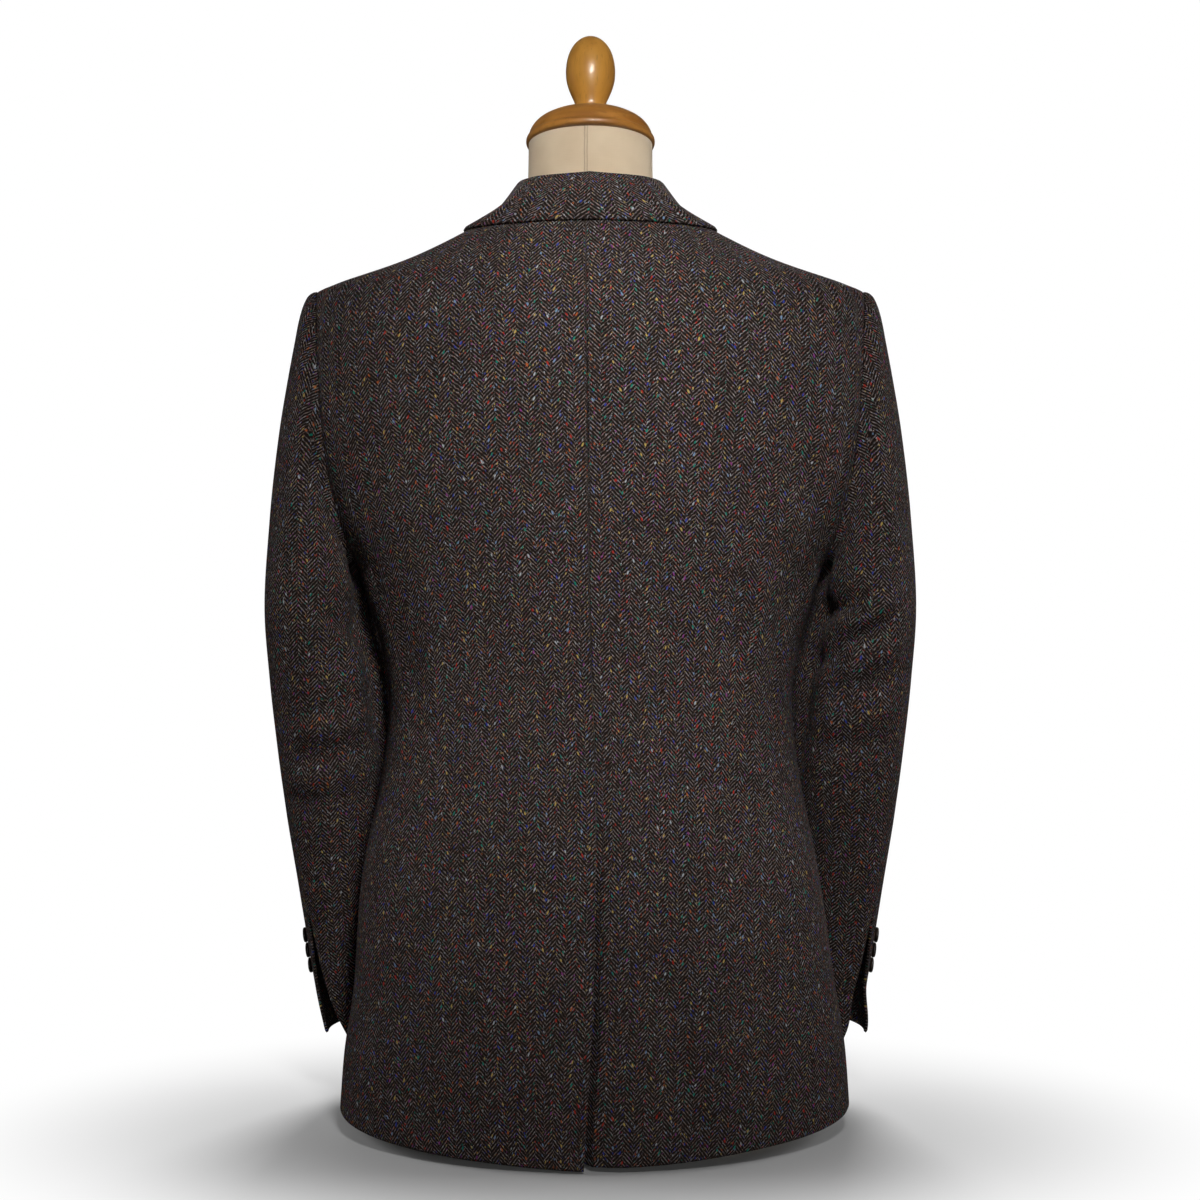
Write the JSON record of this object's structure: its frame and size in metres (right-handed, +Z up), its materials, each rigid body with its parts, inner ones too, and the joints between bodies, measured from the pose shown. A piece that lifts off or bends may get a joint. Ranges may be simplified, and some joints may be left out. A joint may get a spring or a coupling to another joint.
{
  "type": "tweed hacking jacket on a limbless dress form",
  "caption": "Waisted tweed hacking jacket with a centre vent, notched lapels and slanted pockets, worn by a limbless dress form with a wooden neck cap and finial.",
  "frame": {"origin": "middle of the whole object's footprint, on the surface that the form stands on", "axes": "+Z up, the jacket's front faces -Y and its back +Y, the wearer's left is +X"},
  "size_m": [0.551, 0.2805, 0.9282],
  "materials": {
    "tweed": "herringbone wool tweed",
    "button": "dark polished horn",
    "form_cloth": "plain cream cotton",
    "cap_wood": "varnished",
    "finial_wood": "gloss varnished"
  },
  "bodies": {
    "root": {"back_left": "tweed", "side_left": "tweed", "front_left": "tweed", "lapel_left": "tweed", "top_sleeve_left": "tweed", "under_sleeve_left": "tweed", "pocket_flap_left": "tweed", "pocket_jet_left": "tweed", "back_right": "tweed", "side_right": "tweed", "front_right": "tweed", "lapel_right": "tweed", "top_sleeve_right": "tweed", "under_sleeve_right": "tweed", "pocket_flap_right": "tweed", "pocket_jet_right": "tweed", "collar_fall": "tweed", "collar_stand": "tweed", "front_button_1": "button", "front_button_2": "button", "front_button_3": "button", "sleeve_button_left_1": "button", "sleeve_button_left_2": "button", "sleeve_button_left_3": "button", "sleeve_button_right_1": "button", "sleeve_button_right_2": "button", "sleeve_button_right_3": "button", "dress_form": "form_cloth", "neck_cap": "cap_wood", "finial": "finial_wood"}
  },
  "joints": []
}
